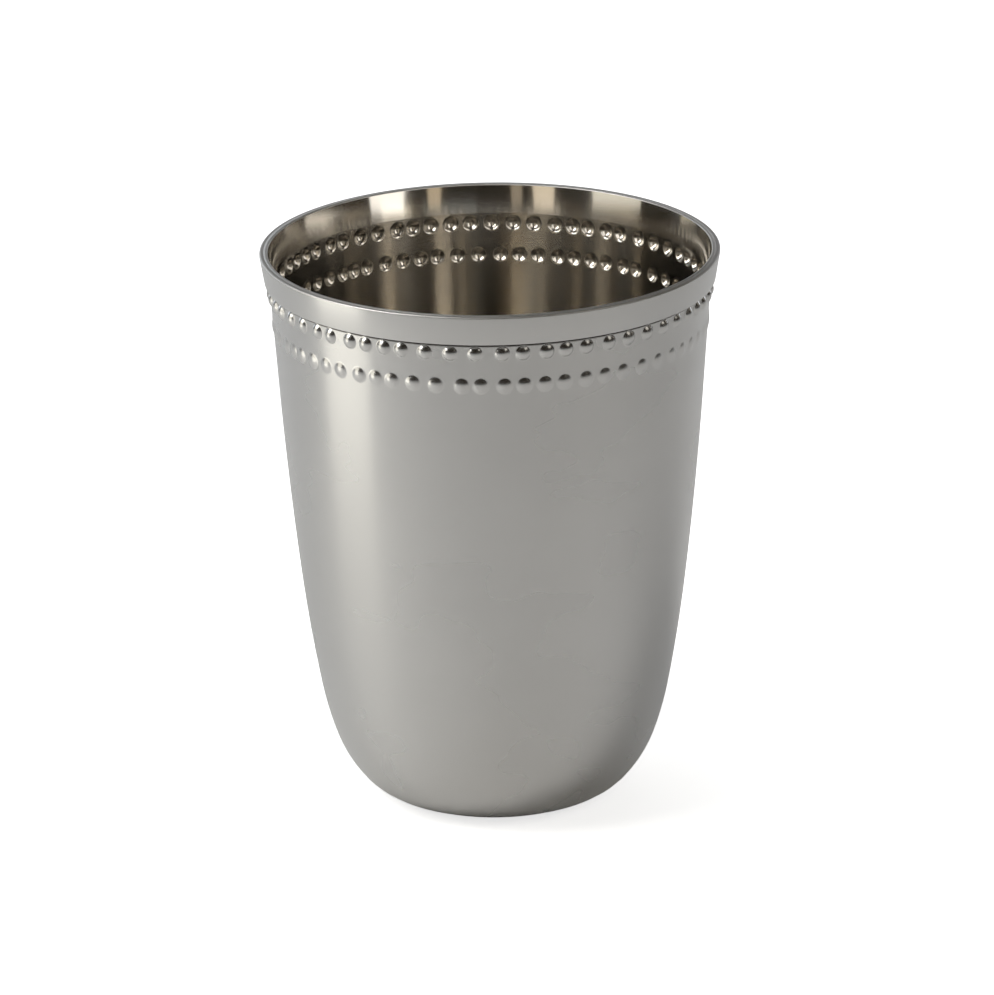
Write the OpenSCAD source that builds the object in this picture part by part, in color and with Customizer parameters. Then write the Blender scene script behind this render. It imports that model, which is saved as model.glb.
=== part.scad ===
/* [Cup] */
// Diameter across the top of the lip, over the band
rim_d = 82; // [74:0.5:96]
// Height from the surface that the cup stands on to the lip
cup_h = 101.6; // [92:0.1:130]
// Thickness of the cup's sheet metal
wall = 0.7; // [0.6:0.05:0.9]

/* [Side outline, from the band down to the foot] */
// Lean of the straight collar that carries the beads, degrees from vertical
collar_angle = 3.9; // [3.2:0.1:4.6]
// Height of that straight collar under the band
collar_h = 20; // [16:0.5:26]
// Lean where the long belly curve passes into the flank
belly_angle = 6.5; // [5.8:0.1:7.2]
// Radius of the flank curve
flank_r = 300; // [240:5:360]
// Lean where the flank passes into the lower curve
flank_angle = 10.6; // [9.8:0.1:11.4]
// Radius of the lower curve
lower_r = 60; // [50:1:70]
// Lean where the lower curve passes into the heel
lower_angle = 19.5; // [17:0.5:22]
// Radius of the heel
heel_r = 23; // [19:0.5:26]
// Lean where the heel passes into the bottom corner
heel_angle = 41; // [38:0.5:44]
// Radius of the bottom corner, measured outside
corner_r = 10; // [8:0.5:12]

/* [Foot] */
// Width of the flat ring that the cup stands on
foot_ring_w = 2.6; // [1.8:0.1:4]
// Rise of the bottom's pushed-in middle
dish_depth = 0.9; // [0.5:0.1:1.6]

/* [Lip band] */
// Height of the band
band_h = 5.3; // [4:0.1:6]
// Thickness of the band
band_t = 0.75; // [0.55:0.05:1]
// Lean of the band and of the wall behind it, degrees from vertical
flare_angle = 9.4; // [7:0.1:11]
// Rounding of the lip's outer edge
lip_round = 0.35; // [0.2:0.05:0.5]
// Rounding of the lip's inner edge
mouth_round = 0.25; // [0.15:0.05:0.4]
// Rounding of the band's lower edge
band_edge_round = 0.15; // [0.1:0.05:0.2]

/* [Solder] */
// Thickness of the solder between the wall and the band
solder_t = 0.05; // [0.03:0.01:0.1]
// Height of the solder fillet that shows under the band
fillet_h = 0.45; // [0.3:0.05:0.5]
// Reach of that fillet along the band's underside
fillet_w = 0.35; // [0.2:0.05:0.4]

/* [Bead rows, pressed out from inside] */
// Width of a bead where it leaves the wall
bead_d = 2.7; // [2.3:0.05:2.8]
// Height of an upper bead above the wall
upper_rise = 0.65; // [0.4:0.05:0.9]
// Height of a lower bead above the wall, pressed less deep
lower_rise = 0.45; // [0.3:0.05:0.9]
// Width of the matching dimple at the inner face
dimple_d = 2.5; // [2.1:0.05:2.6]
// Sheet left at the crown of a bead, where pressing has thinned it
crown_t = 0.5; // [0.4:0.05:0.6]
// Depth of the upper row below the lip
upper_row_drop = 7.2; // [7.1:0.1:7.6]
// Distance from the upper row down to the lower row
row_gap = 5.9; // [5:0.1:7]
// Beads in the upper row
upper_count = 63; // [48:1:66]
// Beads in the lower row
lower_count = 66; // [48:1:68]

/* [Hidden] */

// Largest distance between a true curve and the straight runs that follow it
curve_gap = 0.01;
// Overrun of the hollow above the lip
overrun = 2;
// The round solids are drawn with this many sides
$fn = 96;
// The small balls that press the beads are drawn with this many
ball_sides = 24;

// The rows are set out by eye, so each bead sits a share of the pitch off its even place
upper_drift_shares = [
    -0.08, 0.02, 0.06, 0.18, 0.04, 0.17, 0.02, -0.09, -0.26, -0.2, -0.09, -0.02,
    0.14, 0, 0.04, -0.12, -0.18, -0.08, -0.05, 0.04, 0.1, 0.09, 0.13, 0.08
];
lower_drift_shares = [
    0.3, 0.15, -0.09, -0.09, -0.1, -0.13, -0.02, -0.09, -0.23, -0.19, -0.11, 0.11, -0.03,
    0.07, -0.03, -0.07, -0.15, -0.09, -0.1, -0.1, 0.05, 0.15, 0.23, 0.15, 0.13, 0.15
];
// Turn of each row's first bead from the front, degrees
upper_start = -66.6;
lower_start = -68;
// How far the spacing opens out towards the front, degrees
upper_opening = 2.5;
lower_opening = 1.5;

// Place of the wall's outer face at the band's lower edge
solder_w = solder_t / cos(flare_angle);
band_w = band_t / cos(flare_angle);
bend_z = cup_h - band_h;
bend_r = rim_d / 2 - solder_w - band_w - band_h * tan(flare_angle);

// Radius of the wall's outer face behind the band, at height z
function flare_r(z) = bend_r + (z - bend_z) * tan(flare_angle);
// Radius of the collar's outer face, at height z
function collar_r(z) = bend_r - (bend_z - z) * tan(collar_angle);

// The side under the collar is a chain of arcs, each tangent to the next.
// An arc is its radius, the lean at its lower end and the lean at its upper end.
lower_arcs = [
    [corner_r, 90, heel_angle],
    [heel_r, heel_angle, lower_angle],
    [lower_r, lower_angle, flank_angle],
    [flank_r, flank_angle, belly_angle]
];

function rise(arc) = arc[0] * (sin(arc[1]) - sin(arc[2]));
function spread(arc) = arc[0] * (cos(arc[2]) - cos(arc[1]));
function total(list, upto) = upto == 0 ? 0 : list[upto - 1] + total(list, upto - 1);

// The belly takes up the height that the other arcs and the collar leave
lower_rises = [for (arc = lower_arcs) rise(arc)];
belly_h = bend_z - collar_h - total(lower_rises, len(lower_arcs));
belly_r = belly_h / (sin(belly_angle) - sin(collar_angle));
side_arcs = concat(lower_arcs, [[belly_r, belly_angle, collar_angle]]);
side_rises = [for (arc = side_arcs) rise(arc)];
side_spreads = [for (arc = side_arcs) spread(arc)];

// Outer radius of the flat foot ring, and the pushed-in disc inside it
foot_r = collar_r(bend_z - collar_h) - total(side_spreads, len(side_arcs));
dish_r = foot_r - foot_ring_w;
dish_curve_r = (pow(dish_r, 2) + pow(dish_depth, 2)) / (2 * dish_depth);
dish_centre_z = dish_depth - dish_curve_r;

function steps(radius, span) = ceil(abs(span) / (2 * acos(1 - curve_gap / radius)));

// Points of a round edge about a centre, from one turn to another
function edge_arc(centre, radius, from, to) =
    let (n = max(3, steps(radius, to - from)))
    [for (i = [0 : n]) let (a = from + (to - from) * i / n)
        centre + radius * [cos(a), sin(a)]];

// The side's arcs, set in from the outer face by a given depth
function side_curve(inset) = [
    for (k = [0 : len(side_arcs) - 1])
        let (
            arc = side_arcs[k],
            n = steps(arc[0], arc[1] - arc[2]),
            foot = [foot_r + total(side_spreads, k), total(side_rises, k)],
            centre = foot - arc[0] * [cos(arc[1]), -sin(arc[1])]
        )
        for (i = [(k == 0 ? 0 : 1) : n])
            let (lean = arc[1] + (arc[2] - arc[1]) * i / n)
            centre + (arc[0] - inset) * [cos(lean), -sin(lean)]
];

// The bottom's pushed-in disc, from the axis out, at a given height above its outer face
function dish_curve(lift) =
    let (
        radius = dish_curve_r + lift,
        edge = acos((lift - dish_centre_z) / radius),
        n = steps(radius, edge)
    )
    [for (i = [0 : n]) [0, dish_centre_z] + radius * [sin(edge * i / n), cos(edge * i / n)]];

// Centre of a rounding that touches a level edge and a leaning face
function round_centre(face_r, z, radius) = [face_r - radius / cos(flare_angle), z];

bend_lean = (flare_angle + collar_angle) / 2;
bend_miter = wall / cos((flare_angle - collar_angle) / 2);
mouth_centre = [
    flare_r(cup_h - mouth_round) - (wall - mouth_round) / cos(flare_angle),
    cup_h - mouth_round
];

// The cup's outside as a filled outline, and the space inside it
body_outline = concat(
    dish_curve(0),
    side_curve(0),
    [[bend_r, bend_z], [flare_r(cup_h), cup_h], [0, cup_h]]
);
hollow_outline = concat(
    dish_curve(wall),
    side_curve(wall),
    [[bend_r, bend_z] - bend_miter * [cos(bend_lean), -sin(bend_lean)]],
    edge_arc(mouth_centre, mouth_round, 180 - flare_angle, 90),
    [[mouth_centre[0], cup_h + overrun], [0, cup_h + overrun]]
);

// The band's cross-section, from its inner foot round over the lip
function band_face_r(z) = flare_r(z) + solder_w + band_w;
lip_z = cup_h - lip_round;
band_edge_z = bend_z + band_edge_round;
band_outline = concat(
    [[bend_r + solder_w, bend_z], [flare_r(cup_h) + solder_w, cup_h]],
    edge_arc(round_centre(band_face_r(lip_z), lip_z, lip_round),
        lip_round, 90, -flare_angle),
    edge_arc(round_centre(band_face_r(band_edge_z), band_edge_z, band_edge_round),
        band_edge_round, -flare_angle, -90)
);

// The solder fills the gap behind the band and ends in a hollow fillet under it
fillet_foot = [collar_r(bend_z - fillet_h), bend_z - fillet_h];
fillet_reach = bend_r + solder_w + fillet_w - fillet_foot[0];
fillet_curve = [
    for (turn = [0 : 15 : 75])
        fillet_foot + [fillet_reach * (1 - sin(turn)), fillet_h * cos(turn)]
];
solder_outline = concat(
    [fillet_foot, [bend_r, bend_z], [flare_r(cup_h), cup_h]],
    [[flare_r(cup_h) + solder_w, cup_h], [bend_r + solder_w, bend_z]],
    fillet_curve
);

// A bead and its dimple are caps of spheres, sunk along the wall's normal.
// A cap's ball has this radius, for the cap's width and height.
function cap_ball_r(width, height) = (pow(width / 2, 2) + pow(height, 2)) / (2 * height);
// Depth of the dimple behind a bead
function dimple_depth(bead_rise) = wall + bead_rise - crown_t;

// Turn of bead i about the cup's axis, counted from the front
function bead_turn(i, count, start, opening, shares) =
    let (even = start + 360 / count * i)
    even + opening * sin(even) + 360 / count * shares[i % len(shares)];

// One row of balls on the collar, each cap as wide and high as given, on a face
// that lies below the wall's outer one
module cap_row(drop, count, start, opening, shares, width, height, face_depth) {
    z = cup_h - drop;
    ball_r = cap_ball_r(width, height);
    sink = face_depth + ball_r - height;
    for (i = [0 : count - 1])
        rotate([0, 0, bead_turn(i, count, start, opening, shares) - 90])
            translate([collar_r(z) - sink * cos(collar_angle), 0, z + sink * sin(collar_angle)])
                sphere(r = ball_r, $fn = ball_sides);
}

module both_rows(width, upper_height, lower_height, face_depth) {
    cap_row(upper_row_drop, upper_count, upper_start, upper_opening,
        upper_drift_shares, width, upper_height, face_depth);
    cap_row(upper_row_drop + row_gap, lower_count, lower_start, lower_opening,
        lower_drift_shares, width, lower_height, face_depth);
}

// The cup, spun from one sheet, with both rows of beads pressed out from inside
module cup_body() {
    color([0.72, 0.715, 0.7])
        difference() {
            union() {
                rotate_extrude()
                    polygon(body_outline);
                both_rows(bead_d, upper_rise, lower_rise, 0);
            }
            union() {
                rotate_extrude()
                    polygon(hollow_outline);
                both_rows(dimple_d, dimple_depth(upper_rise), dimple_depth(lower_rise), wall);
            }
        }
}

// The plain strip that stiffens the lip
module rim_band() {
    color([0.76, 0.755, 0.745])
        rotate_extrude()
            polygon(band_outline);
}

// The solder that joins the strip to the cup
module solder_seam() {
    color([0.42, 0.41, 0.39])
        rotate_extrude()
            polygon(solder_outline);
}

cup_body();
rim_band();
solder_seam();
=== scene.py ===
import math

import bmesh
import bpy
import numpy as np
from mathutils import Matrix, Vector


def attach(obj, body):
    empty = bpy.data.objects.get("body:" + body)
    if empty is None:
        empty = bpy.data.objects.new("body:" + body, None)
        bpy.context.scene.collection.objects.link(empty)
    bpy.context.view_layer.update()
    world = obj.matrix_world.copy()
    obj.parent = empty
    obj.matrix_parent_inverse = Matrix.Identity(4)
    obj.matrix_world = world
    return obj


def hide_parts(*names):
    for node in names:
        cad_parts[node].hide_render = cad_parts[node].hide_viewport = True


bpy.context.scene.view_settings.view_transform = "Standard"
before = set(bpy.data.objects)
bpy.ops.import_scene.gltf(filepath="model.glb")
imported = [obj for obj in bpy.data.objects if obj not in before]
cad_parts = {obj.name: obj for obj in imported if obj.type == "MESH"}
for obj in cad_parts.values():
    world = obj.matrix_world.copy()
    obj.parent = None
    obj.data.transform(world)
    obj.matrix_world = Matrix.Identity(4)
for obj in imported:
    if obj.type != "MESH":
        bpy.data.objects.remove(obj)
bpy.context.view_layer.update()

# Sizes of the cup in metres, with its leans in radians
MM = 0.001
CUP_H = 101.6 * MM
RIM_D = 82 * MM
WALL = 0.7 * MM
BAND_H = 5.3 * MM
BAND_T = 0.75 * MM
SOLDER_T = 0.05 * MM
FLARE = math.radians(9.4)
COLLAR = math.radians(3.9)
COLLAR_H = 20 * MM
MOUTH_ROUND = 0.25 * MM
FOOT_RING_W = 2.6 * MM
DISH_DEPTH = 0.9 * MM
LIP_ROUND = 0.35 * MM
BAND_EDGE_ROUND = 0.15 * MM
FILLET_H = 0.45 * MM
FILLET_W = 0.35 * MM

# The side's arcs from the foot up: radius, and the lean in degrees at its lower and upper end
LOWER_ARCS = [(10 * MM, 90, 41), (23 * MM, 41, 19.5), (60 * MM, 19.5, 10.6), (300 * MM, 10.6, 6.5)]
BELLY_LEAN = 6.5

# How far each bead sits from its even place, as a share of the spacing, repeated round the row
UPPER_DRIFT_SHARES = [
    -0.08, 0.02, 0.06, 0.18, 0.04, 0.17, 0.02, -0.09, -0.26, -0.2, -0.09, -0.02,
    0.14, 0, 0.04, -0.12, -0.18, -0.08, -0.05, 0.04, 0.1, 0.09, 0.13, 0.08,
]
LOWER_DRIFT_SHARES = [
    0.3, 0.15, -0.09, -0.09, -0.1, -0.13, -0.02, -0.09, -0.23, -0.19, -0.11, 0.11, -0.03,
    0.07, -0.03, -0.07, -0.15, -0.09, -0.1, -0.1, 0.05, 0.15, 0.23, 0.15, 0.13, 0.15,
]
# The bead rows: depth below the lip, height of a bead, radius of the soft blend at its edge, share
# of the height that is lost at the cup's sides, count, first bead's turn and opening in degrees
ROWS = [
    {"drop": 7.2 * MM, "rise": 0.65 * MM, "blend": 0.3 * MM, "fade": 0, "count": 63,
     "start": -66.6, "opening": 2.5, "shares": UPPER_DRIFT_SHARES},
    {"drop": 13.1 * MM, "rise": 0.45 * MM, "blend": 0.8 * MM, "fade": 0.5, "count": 66,
     "start": -68.0, "opening": 1.5, "shares": LOWER_DRIFT_SHARES},
]
BEAD_D = 2.7 * MM
DIMPLE_D = 2.5 * MM
DIMPLE_BLEND = 0.5 * MM
CROWN_T = 0.5 * MM

# The photograph's view: picture size, lip's middle and focal length in pixels, distance from the
# lip's middle in metres, rise and roll in degrees, and a sensor in millimetres to work out the lens
FRAME_PX = (994, 995)
LIP_MIDDLE_PX = (489.7, 247.1)
FOCAL_PX = 5627.7
CAMERA_DISTANCE = 1.0
CAMERA_RISE = 17.08
CAMERA_ROLL = -0.77
SENSOR_W = 36
CLIP_NEAR = 0.01
CLIP_FAR = 20

# The paper floor. It lies a hair under the foot and is clear inside the foot's edge, so that the
# bottom can be seen from below. Near the cup it glows a little less and keeps the shadow
FLOOR_SIZE = 3.0
FLOOR_GAP = 0.02 * MM
FLOOR_TONE = (0.8, 0.8, 0.795)
FLOOR_ROUGH = 0.8
FOOT_EDGE = 0.3 * MM
SHADOW_NEAR = 30 * MM
SHADOW_FAR = 90 * MM
NEAR_GLOW = 0.72

# The room, pale below and dark above, with a narrow change at the horizon, on a scale from
# straight down at 0 to straight up at 1
ROOM_PALE = (0.3, 0.3, 0.3)
ROOM_DARK = (0.024, 0.02, 0.015)
HORIZON = (0.485, 0.515)

# Lamps face this height on the axis
LAMP_AIM = 50 * MM

# Small cards over the mouth light the inside, each facing a place on the inner wall
MOUTH_CARD_R = 40 * MM
MOUTH_CARD_AWAY = 60 * MM
MOUTH_CARD_H = 50 * MM
MOUTH_CARD_RISE = 25
# Turn in degrees, width in metres, brightness, colour
MOUTH_CARDS = [
    (54, 0.015, 1.6, (1, 0.97, 0.92)),
    (28, 0.005, 0.6, (1, 0.82, 0.58)),
    (-14, 0.004, 0.35, (1, 0.85, 0.65)),
    (-28, 0.008, 0.9, (1, 0.87, 0.68)),
]

# The metals' colours, clean and worn
SILVER = (0.74, 0.738, 0.732)
SILVER_WORN = (0.7, 0.698, 0.692)
WARM_SILVER = (0.74, 0.71, 0.66)
WARM_SILVER_WORN = (0.66, 0.63, 0.58)
LIP_SILVER = (0.74, 0.735, 0.725)
LIP_SILVER_WORN = (0.7, 0.695, 0.685)
# The solder fillet is real, but its near-black colour is painted shade for the shadowed corner
# under the band
SOLDER_PAINTED_SHADE = (0.09, 0.085, 0.08)
SOLDER_PAINTED_SHADE_WORN = (0.05, 0.047, 0.043)

# How much of the wear comes from handling, the rest from the broad lines of spinning, and how
# far apart these are against the fine ones
CLOUD_SHARE = 0.6
BROAD_PITCH = 0.12

# Painted shade: a dark line on the wall just under the band, where its overhang shades the wall.
# How far down it reaches, the share of that over which it fades, its colour and its roughness
SHADE_LINE_REACH = 0.7 * MM
SHADE_LINE_FADE = 0.4
PAINTED_SHADE_TONE = (0.2, 0.19, 0.18)
SHADE_LINE_ROUGH = 0.5

# Places of the cup's metals in its list
OUTSIDE, INSIDE, BEADS, DIMPLES, LIP = range(5)
# Where they meet: the inside's share of the wall at the lip, and how far up a normal points on
# the inner bottom and on the rounded lip
INSIDE_SHARE = 0.55
BOTTOM_UP = 0.7
LIP_UP = 0.25

# How finely the pieces are made
SPIN_STEPS = 256
SIDE_STEP = 2.2 * MM
ARC_STEPS_LEAST = 5
DISH_STEPS = 6
MOUTH_STEPS = 5
ROUND_STEPS = 6
FILLET_STEPS = 6
WELD = 0.002 * MM
CORNER_ANGLE = math.radians(30)

# The bead cell: a flat disc of rings, each ring's radius its own number, that every bead is
# pressed from. The rings run over the cap, its blend and a flat ring, and the last is square
CAP_STEPS = 5
BLEND_STEPS = 3
FOOT_RING = CAP_STEPS + BLEND_STEPS
CELL_RINGS = FOOT_RING + 2
FLAT_RING_W = 0.08 * MM
CELL_SIDE = 6
CELL_POINTS = 4 * CELL_SIDE
CELL_HALF_H = 1.85 * MM
# Where two cells crowd each other, each ring keeps this share of room inside the next
RING_ROOM = 0.06
# Plain wall left between the lower row's cells and the side's own mesh
CELL_GAP = 0.6 * MM
# Short straights of the inner face under and over the bend from collar to flare
BEND_UNDER = 0.02 * MM
BEND_OVER = 1.5 * MM

bend_z = CUP_H - BAND_H
solder_w = SOLDER_T / math.cos(FLARE)
band_w = BAND_T / math.cos(FLARE)
bend_r = RIM_D / 2 - solder_w - band_w - BAND_H * math.tan(FLARE)


def flare_r(z):
    """Radius of the wall's outer face behind the band."""
    return bend_r + (z - bend_z) * math.tan(FLARE)


def collar_r(z):
    """Radius of the collar's outer face."""
    return bend_r - (bend_z - z) * math.tan(COLLAR)


def side_arcs():
    """The lower arcs and the belly, whose radius takes up the height that is left."""
    arcs = [(r, math.radians(a), math.radians(b)) for r, a, b in LOWER_ARCS]
    risen = sum(r * (math.sin(a) - math.sin(b)) for r, a, b in arcs)
    lean = math.radians(BELLY_LEAN)
    belly_r = (bend_z - COLLAR_H - risen) / (math.sin(lean) - math.sin(COLLAR))
    return arcs + [(belly_r, lean, COLLAR)]


ARCS = side_arcs()
foot_r = collar_r(bend_z - COLLAR_H) - sum(r * (math.cos(b) - math.cos(a)) for r, a, b in ARCS)
dish_r = foot_r - FOOT_RING_W
dish_curve_r = (dish_r**2 + DISH_DEPTH**2) / (2 * DISH_DEPTH)


def side_points(inset):
    """Points up the side from the foot ring to the collar, set in from the outer face."""
    points = []
    start = Vector((foot_r, 0))
    for radius, low, high in ARCS:
        centre = start - radius * Vector((math.cos(low), -math.sin(low)))
        steps = max(ARC_STEPS_LEAST, int(radius * (low - high) / SIDE_STEP))
        for i in range(1 if points else 0, steps + 1):
            lean = low + (high - low) * i / steps
            points.append(centre + (radius - inset) * Vector((math.cos(lean), -math.sin(lean))))
        start = centre + radius * Vector((math.cos(high), -math.sin(high)))
    return points


def dish_points(lift):
    """Points of the pushed-in bottom from the axis out."""
    radius = dish_curve_r + lift
    edge = math.acos((lift + dish_curve_r - DISH_DEPTH) / radius)
    centre = Vector((0, DISH_DEPTH - dish_curve_r))
    turns = [edge * i / DISH_STEPS for i in range(DISH_STEPS + 1)]
    return [centre + radius * Vector((math.sin(turn), math.cos(turn))) for turn in turns]


def select_none():
    """Leaves nothing selected or active, so that the next operator acts on its own piece alone."""
    if bpy.context.mode != "OBJECT":
        bpy.ops.object.mode_set(mode="OBJECT")
    bpy.ops.object.select_all(action="DESELECT")
    bpy.context.view_layer.objects.active = None


def spun(name, outline):
    """Draws an outline of (radius, height) points and spins it round the cup's axis."""
    select_none()
    start = outline[0]
    bpy.ops.mesh.primitive_plane_add(size=MM, location=(start[0], 0, start[1]))
    piece = bpy.context.object
    piece.name = name
    bpy.ops.object.transform_apply()
    bpy.ops.object.mode_set(mode="EDIT")
    bpy.ops.mesh.select_mode(type="VERT")
    bpy.ops.mesh.select_all(action="SELECT")
    bpy.ops.mesh.merge(type="CENTER")
    for here, there in zip(outline, outline[1:]):
        step = (there[0] - here[0], 0, there[1] - here[1])
        bpy.ops.mesh.extrude_region_move(TRANSFORM_OT_translate={"value": step})
    bpy.ops.mesh.select_all(action="SELECT")
    bpy.ops.mesh.spin(steps=SPIN_STEPS, angle=math.tau, center=(0, 0, 0), axis=(0, 0, 1))
    bpy.ops.mesh.select_all(action="SELECT")
    bpy.ops.mesh.remove_doubles(threshold=WELD)
    bpy.ops.object.mode_set(mode="OBJECT")
    return piece


def joined(name, parts):
    """Joins several objects into one."""
    select_none()
    for part in parts:
        part.select_set(True)
    bpy.context.view_layer.objects.active = parts[0]
    bpy.ops.object.join()
    whole = bpy.context.object
    whole.name = name
    return whole


def cell_disc():
    """One flat disc of evenly spaced rings with a point at its centre."""
    select_none()
    bpy.ops.mesh.primitive_circle_add(vertices=CELL_POINTS, radius=CELL_RINGS, fill_type="NGON")
    disc = bpy.context.object
    bpy.ops.object.mode_set(mode="EDIT")
    bpy.ops.mesh.select_mode(type="FACE")
    bpy.ops.mesh.select_all(action="SELECT")
    for ring in range(CELL_RINGS - 1):
        bpy.ops.mesh.inset(thickness=math.cos(math.pi / CELL_POINTS))
    bpy.ops.mesh.poke()
    bpy.ops.object.mode_set(mode="OBJECT")
    return disc


def cap_sizes(width, height, blend):
    """Radius and sink of the ball whose cap has this width and height, and where its blend runs."""
    ball = ((width / 2) ** 2 + height**2) / (2 * height)
    sink = ball - height
    foot = math.sqrt((ball + blend) ** 2 - (blend + sink) ** 2)
    share = ball / (ball + blend)
    return {"ball": ball, "sink": sink, "blend": blend, "foot": foot, "tangent": share * foot}


def cap_height(cap, radius):
    """Height of the rounded cap above the wall at each radius from its middle."""
    dome = np.sqrt(np.maximum(cap["ball"] ** 2 - radius**2, 0)) - cap["sink"]
    reach = np.clip(cap["foot"] - radius, 0, cap["blend"])
    fillet = cap["blend"] - np.sqrt(cap["blend"] ** 2 - reach**2)
    return np.where(radius <= cap["tangent"], dome, np.where(radius < cap["foot"], fillet, 0))


def ring_radii(cap):
    """Radius of each ring, from the centre out to the blend's foot and the flat ring round it."""
    half = math.asin(cap["tangent"] / cap["ball"])
    on_cap = [cap["ball"] * math.sin(half * i / CAP_STEPS) for i in range(CAP_STEPS + 1)]
    gap = cap["foot"] - cap["tangent"]
    on_blend = [cap["tangent"] + gap * i / BLEND_STEPS for i in range(1, BLEND_STEPS + 1)]
    return np.array(on_cap + on_blend + [cap["foot"] + FLAT_RING_W])


def bead_turns(row):
    """Turn of each bead about the axis, from the front, in degrees."""
    spacing = 360 / row["count"]
    turns = []
    for i in range(row["count"]):
        even = row["start"] + spacing * i
        drift = row["shares"][i % len(row["shares"])] * spacing
        turns.append(even + row["opening"] * math.sin(math.radians(even)) + drift)
    return turns


def rim_place(step, left, right):
    """Where the points of a cell's square rim lie: across the row's turn, and up the collar."""
    part = (step % CELL_SIDE) / CELL_SIDE
    on_side = [step // CELL_SIDE == side for side in range(4)]
    across = np.select(on_side, [right + (left - right) * part, left,
                                 left + (right - left) * part, right])
    along = CELL_HALF_H * np.select(on_side, [1, 1 - 2 * part, -1, 2 * part - 1])
    return across, along


def pressed_row(name, disc, row, inside):
    """All cells of one bead row, on the outer or the inner face of the collar."""
    width, height, blend = BEAD_D, row["rise"], row["blend"]
    if inside:
        width, height, blend = DIMPLE_D, WALL + row["rise"] - CROWN_T, DIMPLE_BLEND
    cap = cap_sizes(width, height, blend)
    flat = np.array([v.co[:2] for v in disc.data.vertices])
    ring = np.rint(np.hypot(flat[:, 0], flat[:, 1])).astype(int)
    around = np.arctan2(flat[:, 1], flat[:, 0])
    step = np.rint((around - math.pi / 4) / (math.tau / CELL_POINTS)).astype(int) % CELL_POINTS
    on_rim = ring == CELL_RINGS
    ring_in = np.minimum(ring, CELL_RINGS - 1)
    ring_r = ring_radii(cap)[ring_in]
    room = 1 - RING_ROOM * (CELL_RINGS - ring_in)
    pressed = [int(max(ring[v] for v in face.vertices) <= FOOT_RING)
               for face in disc.data.polygons]
    turns = bead_turns(row)
    mid_r = collar_r(CUP_H - row["drop"])
    cells = []
    for i, turn in enumerate(turns):
        before = (turns[i - 1] - turn) % -360 / 2
        after = (turns[(i + 1) % len(turns)] - turn) % 360 / 2
        left = math.radians(before) * mid_r
        right = math.radians(after) * mid_r
        rim_across, rim_along = rim_place(step, left, right)
        across = np.clip(ring_r * np.cos(around), left * room, right * room)
        across = np.where(on_rim, rim_across, across)
        along = np.where(on_rim, rim_along, ring_r * np.sin(around))
        lift = cap_height(cap, np.hypot(across, along))
        if inside:
            lift = lift - WALL
        else:
            lift = lift * (1 - row["fade"] * math.sin(math.radians(turn)) ** 2)
        z = CUP_H - row["drop"] + along * math.cos(COLLAR)
        radius = collar_r(z) + lift * math.cos(COLLAR)
        azimuth = math.radians(turn - 90) + across / mid_r
        place = np.column_stack([radius * np.cos(azimuth), radius * np.sin(azimuth),
                                 z - lift * math.sin(COLLAR)])
        mesh = disc.data.copy()
        mesh.vertices.foreach_set("co", place.ravel())
        mesh.attributes.new("pressed", "INT", "FACE").data.foreach_set("value", pressed)
        cell = bpy.data.objects.new(f"{name}_{i}", mesh)
        bpy.context.collection.objects.link(cell)
        cells.append(cell)
    return joined(name, cells)


def lip_outline():
    """The flared top of the wall, from the inner bend over the rounded mouth to the outer bend."""
    miter = WALL / math.cos((FLARE - COLLAR) / 2)
    lean = (FLARE + COLLAR) / 2
    inner_bend = Vector((bend_r - miter * math.cos(lean), bend_z + miter * math.sin(lean)))
    mouth_z = CUP_H - MOUTH_ROUND
    mouth_r = flare_r(mouth_z) - (WALL - MOUTH_ROUND) / math.cos(FLARE)
    turns = [math.pi - FLARE - i * (math.pi / 2 - FLARE) / MOUTH_STEPS
             for i in range(MOUTH_STEPS + 1)]
    outline = [inner_bend - Vector((0, BEND_UNDER)),
               inner_bend + Vector((math.tan(FLARE), 1)) * BEND_OVER]
    outline += [(mouth_r + MOUTH_ROUND * math.cos(turn), mouth_z + MOUTH_ROUND * math.sin(turn))
                for turn in turns]
    return outline + [(flare_r(CUP_H), CUP_H), (bend_r, bend_z)]


def bridge(mesh_edit, inside, high, low):
    """Bridges the two open rings between two depths below the lip, on one face of the sheet."""
    for edge in mesh_edit.edges:
        edge.select_set(False)
    for edge in mesh_edit.edges:
        if not edge.is_boundary:
            continue
        middle = (edge.verts[0].co + edge.verts[1].co) / 2
        is_inside = middle.xy.length < collar_r(middle.z) - WALL / 2
        if is_inside == inside and high < CUP_H - middle.z < low:
            edge.select_set(True)
    bpy.ops.mesh.bridge_edge_loops()


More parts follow.
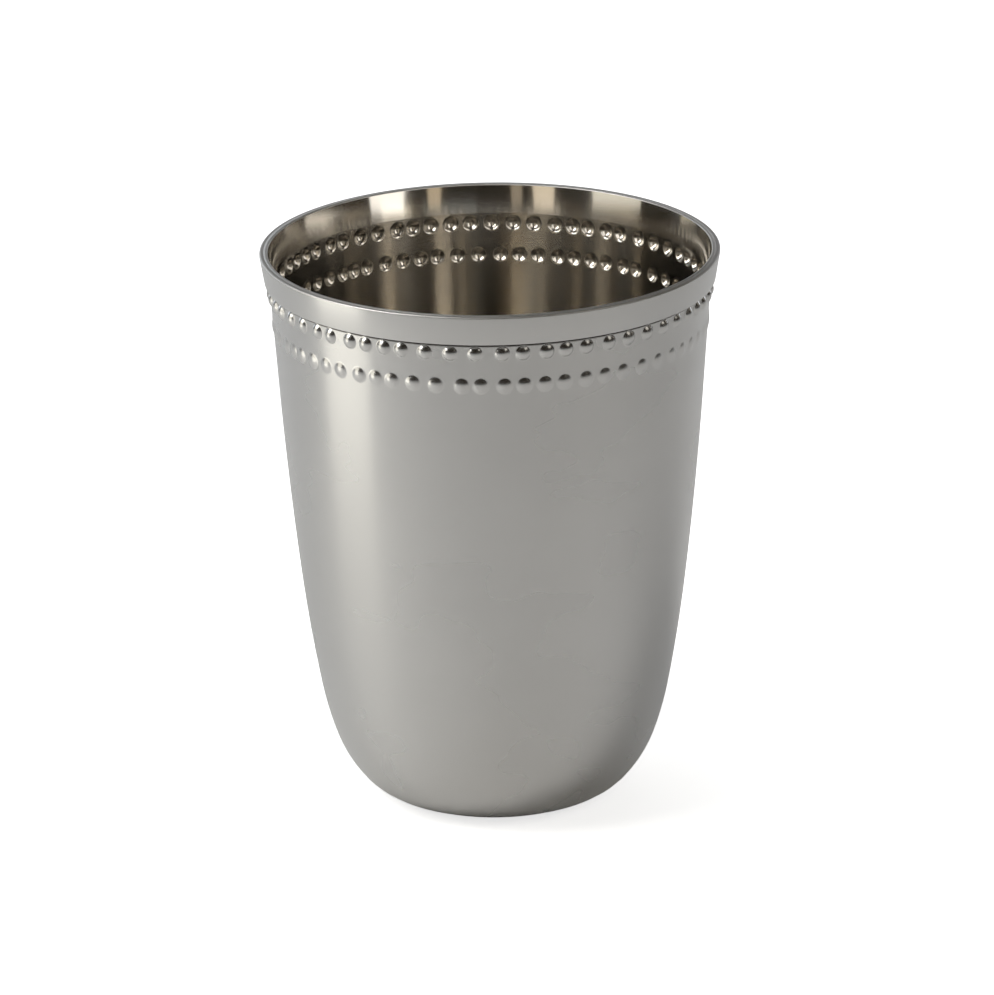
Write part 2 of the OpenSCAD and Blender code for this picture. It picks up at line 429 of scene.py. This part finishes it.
def make_cup():
    """The cup: a spun sheet whose collar is made of pressed cells, bridged into one closed skin."""
    top_row, low_row = ROWS
    cell_low = CUP_H - low_row["drop"] - CELL_HALF_H - CELL_GAP
    inner_low = collar_r(cell_low) - WALL / math.cos(COLLAR)
    outer = dish_points(0) + side_points(0) + [(collar_r(cell_low), cell_low)]
    inner = dish_points(WALL) + side_points(WALL) + [(inner_low, cell_low)]
    parts = [spun("outer_side", outer), spun("inner_side", inner), spun("lip_turn", lip_outline())]
    disc = cell_disc()
    for inside in (False, True):
        for k, row in enumerate(ROWS):
            parts.append(pressed_row(f"row_{k}_{inside}", disc, row, inside))
    bpy.data.objects.remove(disc)
    cup = joined("cup", parts)
    bpy.ops.object.mode_set(mode="EDIT")
    bpy.ops.mesh.select_mode(type="EDGE")
    bpy.ops.mesh.select_all(action="SELECT")
    bpy.ops.mesh.remove_doubles(threshold=WELD)
    edit = bmesh.from_edit_mesh(cup.data)
    near = CELL_HALF_H / 2
    # Depths below the lip between which lip, rows and side face each other with open rings
    gaps = [
        (BAND_H - MM, top_row["drop"] - near),
        (top_row["drop"] + near, low_row["drop"] - near),
        (low_row["drop"] + near, low_row["drop"] + 2 * CELL_HALF_H),
    ]
    for inside in (False, True):
        for high, low in gaps:
            bridge(edit, inside, high, low)
    bpy.ops.mesh.select_all(action="SELECT")
    bpy.ops.mesh.normals_make_consistent(inside=False)
    bpy.ops.object.mode_set(mode="OBJECT")
    bpy.ops.object.shade_smooth()
    return cup


def closed_ring(name, outline):
    """Spins a closed outline into a ring with its faces outward and its corners crisp."""
    ring = spun(name, outline + outline[:1])
    bpy.ops.object.mode_set(mode="EDIT")
    bpy.ops.mesh.select_all(action="SELECT")
    bpy.ops.mesh.normals_make_consistent(inside=False)
    bpy.ops.object.mode_set(mode="OBJECT")
    bpy.ops.object.shade_smooth_by_angle(angle=CORNER_ANGLE)
    return ring


def edge_arc(face_r, z, radius, start, end):
    """Points of a rounding that touches a level edge and the leaning face at this height."""
    centre = (face_r - radius / math.cos(FLARE), z)
    turns = [start + (end - start) * i / ROUND_STEPS for i in range(ROUND_STEPS + 1)]
    return [(centre[0] + radius * math.cos(t), centre[1] + radius * math.sin(t)) for t in turns]


def make_band():
    """The plain strip round the lip: upper edge well rounded, lower edge just broken."""
    lip_z = CUP_H - LIP_ROUND
    low_z = bend_z + BAND_EDGE_ROUND
    out = solder_w + band_w
    outline = [(bend_r + solder_w, bend_z), (flare_r(CUP_H) + solder_w, CUP_H)]
    outline += edge_arc(flare_r(lip_z) + out, lip_z, LIP_ROUND, math.pi / 2, -FLARE)
    outline += edge_arc(flare_r(low_z) + out, low_z, BAND_EDGE_ROUND, -FLARE, -math.pi / 2)
    return closed_ring("lip_band", outline)


def make_solder():
    """The solder behind the band and its hollow fillet in the corner under it."""
    foot_z = bend_z - FILLET_H
    foot = (collar_r(foot_z), foot_z)
    reach = bend_r + solder_w + FILLET_W - foot[0]
    turns = [math.pi / 2 * i / FILLET_STEPS for i in range(FILLET_STEPS)]
    fillet = [(foot[0] + reach * (1 - math.sin(t)), foot_z + FILLET_H * math.cos(t)) for t in turns]
    outline = [foot, (bend_r, bend_z), (flare_r(CUP_H), CUP_H)]
    outline += [(flare_r(CUP_H) + solder_w, CUP_H), (bend_r + solder_w, bend_z)] + fillet
    return closed_ring("solder_fillet", outline)


def node_link(tree, pairs):
    """Links each output to its input."""
    for out_socket, in_socket in pairs:
        tree.links.new(out_socket, in_socket)


def new_group(name, inputs, outputs):
    """A shader node group with named value inputs and outputs."""
    group = bpy.data.node_groups.new(name, "ShaderNodeTree")
    for label, default in inputs:
        socket = group.interface.new_socket(
            name=label, in_out="INPUT", socket_type="NodeSocketFloat")
        socket.default_value = default
    for label in outputs:
        group.interface.new_socket(name=label, in_out="OUTPUT", socket_type="NodeSocketFloat")
    return group, group.nodes.new("NodeGroupInput"), group.nodes.new("NodeGroupOutput")


def math_node(tree, operation, *values, clamp=False):
    """The output of a Math node over plain values or other outputs."""
    node = tree.nodes.new("ShaderNodeMath")
    node.operation = operation
    node.use_clamp = clamp
    for slot, value in zip(node.inputs, values):
        if isinstance(value, (int, float)):
            slot.default_value = value
        else:
            tree.links.new(value, slot)
    return node.outputs[0]


def spun_lines_group():
    """Fine rings that the spinning tool and the brush leave round the axis."""
    group, inlet, outlet = new_group(
        "spun_lines", [("Lines per metre", 1500.0), ("Breaks per metre", 20.0)],
        ["Fine", "Broad"])
    place = group.nodes.new("ShaderNodeTexCoord").outputs["Object"]
    split = group.nodes.new("ShaderNodeSeparateXYZ")
    group.links.new(place, split.inputs[0])
    x, y, z = split.outputs
    squares = [math_node(group, "MULTIPLY", axis, axis) for axis in (x, y)]
    radius = math_node(group, "SQRT", math_node(group, "ADD", *squares))
    along = math_node(group, "SUBTRACT", z, radius)
    for share, label in ((1.0, "Fine"), (BROAD_PITCH, "Broad")):
        pitch = math_node(group, "MULTIPLY", inlet.outputs["Lines per metre"], share)
        spot = group.nodes.new("ShaderNodeCombineXYZ")
        node_link(group, [
            (math_node(group, "MULTIPLY", along, pitch), spot.inputs[0]),
            (math_node(group, "MULTIPLY", x, inlet.outputs["Breaks per metre"]), spot.inputs[1]),
            (math_node(group, "MULTIPLY", y, inlet.outputs["Breaks per metre"]), spot.inputs[2])])
        noise = group.nodes.new("ShaderNodeTexNoise")
        noise.inputs["Scale"].default_value = 1.0
        noise.inputs["Detail"].default_value = 1.0
        node_link(group, [
            (spot.outputs[0], noise.inputs["Vector"]),
            (noise.outputs["Fac"], outlet.inputs[label])])
    return group


def handling_group():
    """Cloudy patches left by polishing and handling, as a mask from 0 to 1."""
    group, inlet, outlet = new_group(
        "handling", [("Size per metre", 40.0), ("Hardness", 1.6)], ["Cloud"])
    place = group.nodes.new("ShaderNodeTexCoord").outputs["Object"]
    cloud = group.nodes.new("ShaderNodeTexNoise")
    cloud.inputs["Detail"].default_value = 2.0
    node_link(group, [
        (place, cloud.inputs["Vector"]),
        (inlet.outputs["Size per metre"], cloud.inputs["Scale"])])
    shifted = math_node(group, "SUBTRACT", cloud.outputs["Fac"], 0.5)
    spread = math_node(group, "MULTIPLY", shifted, inlet.outputs["Hardness"])
    group.links.new(math_node(group, "ADD", spread, 0.5, clamp=True), outlet.inputs["Cloud"])
    return group


SPUN_LINES = spun_lines_group()
HANDLING = handling_group()


def metal(name, clean, worn, rough, rough_spread, anisotropy, line_depth=0.0, cloud_depth=0.0):
    """A worn, spun metal: two tones and a roughness that follow handling, and lines round it."""
    material = bpy.data.materials.new(name)
    material.use_nodes = True
    tree = material.node_tree
    shader = tree.nodes["Principled BSDF"]
    shader.inputs["Metallic"].default_value = 1.0
    shader.inputs["Anisotropic"].default_value = anisotropy
    # A quarter turn from round the axis, so that mirrored light is drawn out up and down the wall
    shader.inputs["Anisotropic Rotation"].default_value = 0.25
    round_axis = tree.nodes.new("ShaderNodeTangent")
    round_axis.direction_type = "RADIAL"
    round_axis.axis = "Z"
    spin = tree.nodes.new("ShaderNodeGroup")
    spin.node_tree = SPUN_LINES
    wear = tree.nodes.new("ShaderNodeGroup")
    wear.node_tree = HANDLING
    by_hand = math_node(tree, "MULTIPLY", wear.outputs["Cloud"], CLOUD_SHARE)
    by_tool = math_node(tree, "MULTIPLY", spin.outputs["Broad"], 1 - CLOUD_SHARE)
    mixed = math_node(tree, "ADD", by_hand, by_tool)
    tone = tree.nodes.new("ShaderNodeMix")
    tone.data_type = "RGBA"
    tone.inputs["A"].default_value = (*clean, 1)
    tone.inputs["B"].default_value = (*worn, 1)
    spread = math_node(tree, "MULTIPLY", mixed, rough_spread)
    node_link(tree, [
        (round_axis.outputs[0], shader.inputs["Tangent"]),
        (mixed, tone.inputs["Factor"]),
        (tone.outputs["Result"], shader.inputs["Base Color"]),
        (math_node(tree, "ADD", spread, rough - rough_spread / 2), shader.inputs["Roughness"])])
    if line_depth or cloud_depth:
        clouds = tree.nodes.new("ShaderNodeBump")
        clouds.inputs["Distance"].default_value = cloud_depth
        lines = tree.nodes.new("ShaderNodeBump")
        lines.inputs["Distance"].default_value = line_depth
        node_link(tree, [
            (wear.outputs["Cloud"], clouds.inputs["Height"]),
            (spin.outputs["Fine"], lines.inputs["Height"]),
            (clouds.outputs["Normal"], lines.inputs["Normal"]),
            (lines.outputs["Normal"], shader.inputs["Normal"])])
    return material


def paint_shade_under_band(material):
    """Painted shade: a dark line on the wall just under the band, where its overhang shades it."""
    tree = material.node_tree
    shader = tree.nodes["Principled BSDF"]
    place = tree.nodes.new("ShaderNodeTexCoord").outputs["Object"]
    split = tree.nodes.new("ShaderNodeSeparateXYZ")
    tree.links.new(place, split.inputs[0])
    height = split.outputs[2]
    near = tree.nodes.new("ShaderNodeMapRange")
    near.interpolation_type = "SMOOTHSTEP"
    near.inputs["From Min"].default_value = bend_z - SHADE_LINE_REACH
    near.inputs["From Max"].default_value = bend_z - (1 - SHADE_LINE_FADE) * SHADE_LINE_REACH
    tree.links.new(height, near.inputs["Value"])
    below = math_node(tree, "LESS_THAN", height, bend_z)
    mask = math_node(tree, "MULTIPLY", near.outputs["Result"], below)
    painted_shade = tree.nodes.new("ShaderNodeMix")
    painted_shade.data_type = "RGBA"
    painted_shade.inputs["B"].default_value = (*PAINTED_SHADE_TONE, 1)
    dulled = tree.nodes.new("ShaderNodeMix")
    dulled.inputs["B"].default_value = SHADE_LINE_ROUGH
    for mix, label in ((painted_shade, "Base Color"), (dulled, "Roughness")):
        node_link(tree, [
            (mask, mix.inputs["Factor"]),
            (shader.inputs[label].links[0].from_socket, mix.inputs["A"]),
            (mix.outputs["Result"], shader.inputs[label])])


def dress(piece, *materials):
    """Gives a piece its materials, in this order."""
    piece.data.materials.clear()
    for material in materials:
        piece.data.materials.append(material)


def paint_cup(piece):
    """Tells the cup's outside from its inside, and the pressed faces from the plain ones."""
    mesh = piece.data
    pressed = [mark.value for mark in mesh.attributes["pressed"].data]
    for face in mesh.polygons:
        middle = Vector(face.center)
        if middle.z > bend_z:
            inner = middle.xy.length < flare_r(middle.z) - INSIDE_SHARE * WALL
        else:
            toward_axis = Vector(face.normal).xy.dot(middle.xy) < 0
            inner = toward_axis or face.normal.z > BOTTOM_UP
        if pressed[face.index]:
            face.material_index = DIMPLES if inner else BEADS
        else:
            face.material_index = INSIDE if inner else OUTSIDE
    mesh.attributes.remove(mesh.attributes["pressed"])


def paint_lip(piece, index):
    """Gives the faces of the rounded lip, which hands and cloths rub dull, their own material."""
    for face in piece.data.polygons:
        if face.center.z > CUP_H - LIP_ROUND and face.normal.z > LIP_UP:
            face.material_index = index


def add_camera():
    """The camera, from the middle of the lip out along the photograph's line of sight."""
    rise = math.radians(CAMERA_RISE)
    out = Vector((0, -math.cos(rise), math.sin(rise)))
    ahead = -out
    right = Vector((1, 0, 0))
    up = right.cross(ahead)
    roll = math.radians(CAMERA_ROLL)
    right, up = (right * math.cos(roll) + up * math.sin(roll),
                 up * math.cos(roll) - right * math.sin(roll))
    pan = math.atan((LIP_MIDDLE_PX[0] - FRAME_PX[0] / 2) / FOCAL_PX)
    tilt = math.atan(-(LIP_MIDDLE_PX[1] - FRAME_PX[1] / 2) / FOCAL_PX * math.cos(pan))
    ahead, right = (ahead * math.cos(pan) - right * math.sin(pan),
                    right * math.cos(pan) + ahead * math.sin(pan))
    ahead, up = (ahead * math.cos(tilt) - up * math.sin(tilt),
                 up * math.cos(tilt) + ahead * math.sin(tilt))
    data = bpy.data.cameras.new("camera")
    data.sensor_width = SENSOR_W
    data.lens = FOCAL_PX / max(FRAME_PX) * SENSOR_W
    data.clip_start = CLIP_NEAR
    data.clip_end = CLIP_FAR
    camera = bpy.data.objects.new("camera", data)
    bpy.context.collection.objects.link(camera)
    turn = Matrix((right, up, -ahead)).transposed().to_4x4()
    camera.matrix_world = Matrix.Translation(Vector((0, 0, CUP_H)) + out * CAMERA_DISTANCE) @ turn
    bpy.context.scene.camera = camera


def white_where_seen(material):
    """Lets the camera see the floor as white with a faint shadow, and through it from below."""
    tree = material.node_tree
    path = tree.nodes.new("ShaderNodeLightPath")
    place = tree.nodes.new("ShaderNodeTexCoord").outputs["Object"]
    away = tree.nodes.new("ShaderNodeVectorMath")
    away.operation = "LENGTH"
    tree.links.new(place, away.inputs[0])
    reach = tree.nodes.new("ShaderNodeMapRange")
    reach.interpolation_type = "SMOOTHSTEP"
    reach.inputs["From Min"].default_value = SHADOW_NEAR
    reach.inputs["From Max"].default_value = SHADOW_FAR
    reach.inputs["To Min"].default_value = NEAR_GLOW
    reach.inputs["To Max"].default_value = 1.0
    tree.links.new(away.outputs["Value"], reach.inputs["Value"])
    seen_glow = math_node(tree, "MULTIPLY", path.outputs["Is Camera Ray"], reach.outputs["Result"])
    glow = tree.nodes.new("ShaderNodeEmission")
    both = tree.nodes.new("ShaderNodeAddShader")
    node_link(tree, [
        (seen_glow, glow.inputs["Strength"]),
        (tree.nodes["Principled BSDF"].outputs[0], both.inputs[0]),
        (glow.outputs[0], both.inputs[1])])
    from_below = tree.nodes.new("ShaderNodeNewGeometry").outputs["Backfacing"]
    under_foot = math_node(tree, "LESS_THAN", away.outputs["Value"], foot_r - FOOT_EDGE)
    seen_from_below = math_node(tree, "MULTIPLY", path.outputs["Is Camera Ray"], from_below)
    clear = tree.nodes.new("ShaderNodeBsdfTransparent")
    seen = tree.nodes.new("ShaderNodeMixShader")
    node_link(tree, [
        (math_node(tree, "ADD", seen_from_below, under_foot, clamp=True), seen.inputs[0]),
        (both.outputs[0], seen.inputs[1]),
        (clear.outputs[0], seen.inputs[2]),
        (seen.outputs[0], tree.nodes["Material Output"].inputs["Surface"])])


def white_paper():
    """Plain matt paper that the camera sees as a white ground."""
    material = bpy.data.materials.new("white_paper")
    material.use_nodes = True
    shader = material.node_tree.nodes["Principled BSDF"]
    shader.inputs["Base Color"].default_value = (*FLOOR_TONE, 1)
    shader.inputs["Roughness"].default_value = FLOOR_ROUGH
    white_where_seen(material)
    return material


def add_stage():
    """A pale floor under the cup."""
    select_none()
    bpy.ops.mesh.primitive_plane_add(size=FLOOR_SIZE, location=(0, 0, -FLOOR_GAP))
    floor = bpy.context.object
    floor.name = "floor"
    dress(floor, white_paper())


def studio_lamp(name, turn, rise, distance, width, height, brightness, colour, mirrored=True,
                aim=(0, 0, LAMP_AIM)):
    """A soft panel that faces its aim, with its turn to the camera's right and its rise in degrees.

    One that isn't mirrored lights the floor and doesn't show in the metal.
    """
    turn, rise = math.radians(turn), math.radians(rise)
    level = math.cos(rise)
    away = Vector((math.sin(turn) * level, -math.cos(turn) * level, math.sin(rise)))
    data = bpy.data.lights.new(name, "AREA")
    data.shape = "RECTANGLE"
    data.size = width
    data.size_y = height
    data.energy = brightness * math.pi * width * height
    data.color = colour
    lamp = bpy.data.objects.new(name, data)
    bpy.context.collection.objects.link(lamp)
    lamp.location = away * distance + Vector(aim)
    lamp.rotation_euler = away.to_track_quat("Z", "Y").to_euler()
    lamp.visible_camera = False
    lamp.visible_glossy = mirrored


def add_mouth_cards():
    """The small cards, each aimed at the inner wall under the band, where it mirrors the card."""
    for i, (turn, width, brightness, colour) in enumerate(MOUTH_CARDS):
        half = math.radians(turn / 2)
        aim = (-MOUTH_CARD_R * math.sin(half), MOUTH_CARD_R * math.cos(half), bend_z)
        studio_lamp(f"mouth_card_{i}", turn, MOUTH_CARD_RISE, MOUTH_CARD_AWAY, width,
                    MOUTH_CARD_H, brightness, colour, aim=aim)


def add_world():
    """Even pale light from the sides and below, and a dark brown room above."""
    world = bpy.data.worlds.new("studio_room")
    bpy.context.scene.world = world
    world.use_nodes = True
    tree = world.node_tree
    sky = tree.nodes["Background"]
    direction = tree.nodes.new("ShaderNodeTexCoord").outputs["Generated"]
    split = tree.nodes.new("ShaderNodeSeparateXYZ")
    tree.links.new(direction, split.inputs[0])
    height = tree.nodes.new("ShaderNodeValToRGB")
    for stop, position, tone in zip(height.color_ramp.elements, HORIZON, (ROOM_PALE, ROOM_DARK)):
        stop.position = position
        stop.color = (*tone, 1)
    lifted = math_node(tree, "ADD", math_node(tree, "MULTIPLY", split.outputs[2], 0.5), 0.5)
    path = tree.nodes.new("ShaderNodeLightPath")
    seen = tree.nodes.new("ShaderNodeMix")
    seen.data_type = "RGBA"
    seen.inputs["B"].default_value = (1, 1, 1, 1)
    node_link(tree, [
        (lifted, height.inputs["Fac"]),
        (path.outputs["Is Camera Ray"], seen.inputs["Factor"]),
        (height.outputs["Color"], seen.inputs["A"]),
        (seen.outputs["Result"], sky.inputs["Color"])])


add_camera()
add_world()
add_stage()
# Turn, rise, distance, width, height, brightness, colour
studio_lamp("key_lamp", -76, 38, 0.8, 0.4, 0.4, 3.2, (1, 0.99, 0.97))
studio_lamp("fill_lamp", 180, 60, 1.0, 1.0, 1.0, 0.55, (0.93, 0.96, 1), mirrored=False)
studio_lamp("right_fill", 54, 38, 1.0, 0.34, 0.5, 2.6, (1, 0.97, 0.92), mirrored=False)
studio_lamp("left_softbox", -76.5, 17, 0.22, 0.12, 0.26, 0.96, (1, 0.96, 0.84))
studio_lamp("left_wall", -138, 20, 1.0, 1.0, 0.5, 0.4, (0.82, 0.92, 1))
studio_lamp("high_lamp", -60, 58, 1.0, 0.26, 0.26, 8.0, (1, 0.98, 0.95))
studio_lamp("right_window", 58, 42, 1.0, 0.5, 0.5, 0.8, (1, 0.95, 0.85))
studio_lamp("far_right_strip", 110, 25, 1.0, 0.2, 0.5, 0.4, (1, 0.93, 0.8))
studio_lamp("back_paper", 180, 8, 1.0, 2.4, 0.3, 1.25, (0.95, 0.97, 1))
studio_lamp("back_card", 180, 30, 0.6, 1.2, 0.35, 0.35, (0.97, 0.98, 1), mirrored=False)
add_mouth_cards()

cup = make_cup()
# Colours clean and worn, roughness and how much it varies, anisotropy
satin = metal("satin_cup_metal", SILVER, SILVER_WORN, 0.27, 0.05, 0.8)
# Painted shade: a dark line on the outer wall just under the band
paint_shade_under_band(satin)
bright = metal("spun_inner_metal", WARM_SILVER, WARM_SILVER_WORN, 0.12, 0.03, 1.0)
bead = metal("pressed_bead_metal", SILVER, SILVER_WORN, 0.24, 0.05, 0.3)
dimple = metal("pressed_dimple_metal", WARM_SILVER, WARM_SILVER_WORN, 0.22, 0.05, 0.0)
rubbed = metal("rubbed_lip_metal", LIP_SILVER, LIP_SILVER_WORN, 0.5, 0.04, 0.0)
dress(cup, satin, bright, bead, dimple, rubbed)
paint_cup(cup)
paint_lip(cup, LIP)
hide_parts("cup_body")

band = make_band()
filed = metal("brushed_band_metal", SILVER, SILVER_WORN, 0.25, 0.04, 0.8)
dress(band, filed, rubbed)
paint_lip(band, 1)
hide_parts("rim_band")

solder = make_solder()
# The real solder fillet, painted near black as shade for the corner under the band
dull = metal("solder_painted_shade_metal", SOLDER_PAINTED_SHADE, SOLDER_PAINTED_SHADE_WORN, 0.6, 0.1, 0.0,
             line_depth=0.002 * MM, cloud_depth=0.01 * MM)
dress(solder, dull, rubbed)
paint_lip(solder, 1)
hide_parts("solder_seam")

for piece in (cup, band, solder):
    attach(piece, "root")
